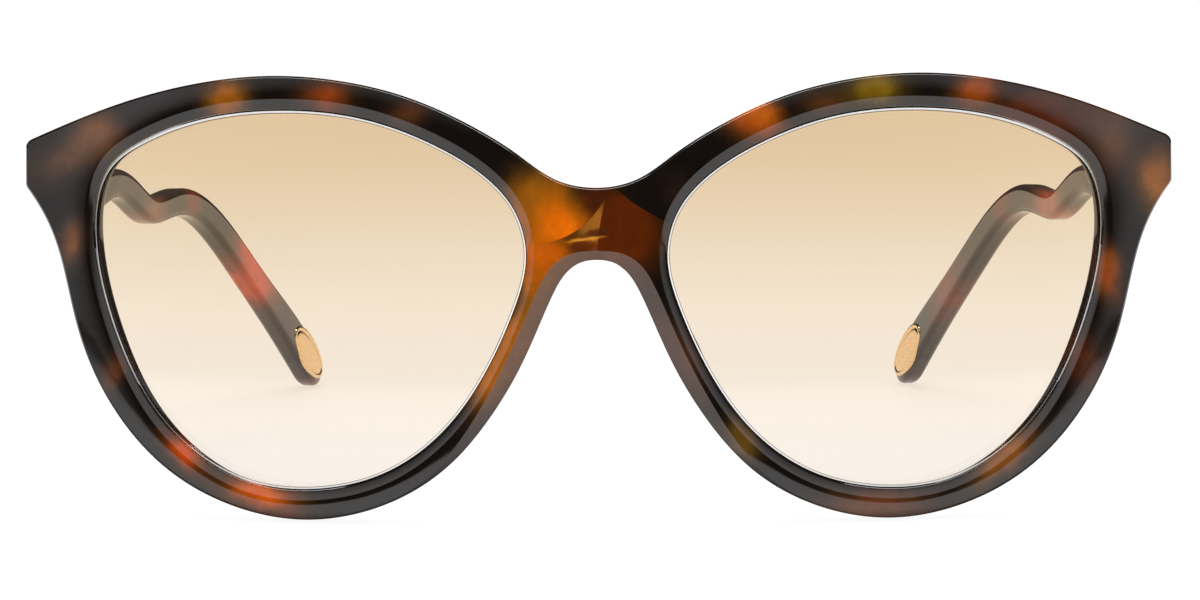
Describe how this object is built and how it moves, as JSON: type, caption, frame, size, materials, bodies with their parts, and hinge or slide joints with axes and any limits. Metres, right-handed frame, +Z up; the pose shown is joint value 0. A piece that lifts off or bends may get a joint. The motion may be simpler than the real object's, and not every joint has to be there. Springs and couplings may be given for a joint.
{
  "type": "cat eye sunglasses",
  "caption": "Cat-eye sunglasses: curved acetate front with upswept corners, gradient tinted lenses, and wavy temples that fold flat on barrel hinges.",
  "frame": {"origin": "centre of the footprint, on the surface that the open glasses stand on", "axes": "+X to the wearer's left, +Y from the front towards the wearer, +Z up; the front leans back 6.25 degrees as it does when the open glasses stand on a table"},
  "size_m": [0.1474, 0.1352, 0.0559],
  "materials": {
    "front_acetate": "polished tortoiseshell cellulose acetate, near black with amber and red-brown clouds",
    "temple_acetate": "polished tortoiseshell cellulose acetate",
    "pad_acetate": "polished tortoiseshell cellulose acetate, bonded to the rim",
    "lens_tint": "clear plastic lens with a light tan gradient, darker at the top",
    "hinge_metal": "nickel silver, tumbled",
    "screw_steel": "polished stainless steel",
    "washer_nylon": "natural nylon",
    "core_wire_metal": "nickel silver wire",
    "medallion_gold": "polished gold colour, plain oval"
  },
  "bodies": {
    "front": {"front_frame": "front_acetate", "hinge_front_plate_left": "hinge_metal", "hinge_front_plate_right": "hinge_metal", "hinge_screw_left": "screw_steel", "hinge_screw_right": "screw_steel", "hinge_washers_left": "washer_nylon", "hinge_washers_right": "washer_nylon", "lens_left": "lens_tint", "lens_right": "lens_tint", "nose_pad_left": "pad_acetate", "nose_pad_right": "pad_acetate"},
    "temple_left": {"temple_left": "temple_acetate", "hinge_temple_plate_left": "hinge_metal", "temple_core_wire_left": "core_wire_metal", "tip_medallion_left": "medallion_gold"},
    "temple_right": {"temple_right": "temple_acetate", "hinge_temple_plate_right": "hinge_metal", "temple_core_wire_right": "core_wire_metal", "tip_medallion_right": "medallion_gold"}
  },
  "joints": [
    {"name": "left_temple_hinge", "type": "hinge", "parent": "front", "child": "temple_left", "pos_m": [0.0672, -0.04763, 0.04319], "axis": [0, 0.1089, 0.9941], "range_deg": [0, 82]},
    {"name": "right_temple_hinge", "type": "hinge", "parent": "front", "child": "temple_right", "pos_m": [-0.0672, -0.04763, 0.04319], "axis": [0, -0.1089, -0.9941], "range_deg": [0, 76]}
  ]
}
